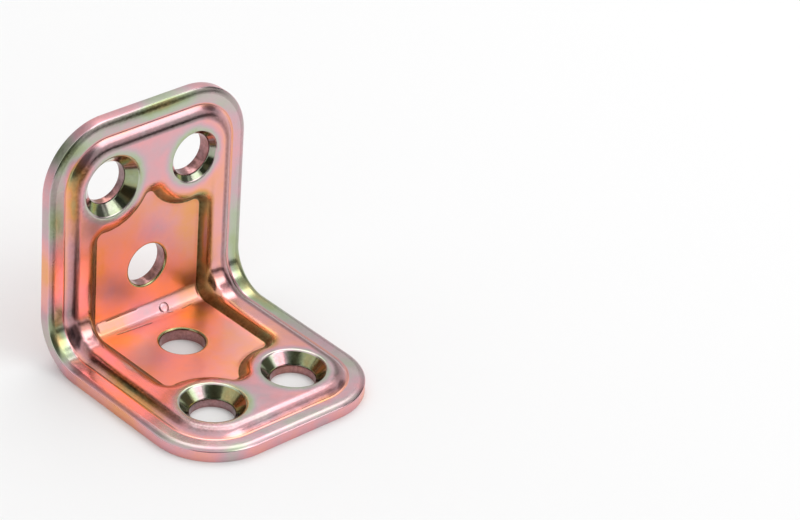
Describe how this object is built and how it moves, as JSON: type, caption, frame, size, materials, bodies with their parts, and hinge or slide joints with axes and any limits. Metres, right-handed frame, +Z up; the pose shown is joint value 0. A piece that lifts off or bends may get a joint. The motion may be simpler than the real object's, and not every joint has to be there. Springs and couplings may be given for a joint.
{
  "type": "corner brace bracket",
  "caption": "Pressed steel angle bracket with two square flanges, a raised stiffening rib all round, countersunk screw holes and plain middle holes.",
  "frame": {"origin": "centre of the bracket's footprint, on the plane of the lower flange's outer face", "axes": "+Z up along the upright flange, +Y out of the upright flange's outer face, X along the bend"},
  "size_m": [0.038, 0.04, 0.04],
  "materials": {
    "zinc_passivate": "satin zinc plating with an iridescent yellow-pink passivate"
  },
  "bodies": {
    "root": {"bracket": "zinc_passivate"}
  },
  "joints": []
}
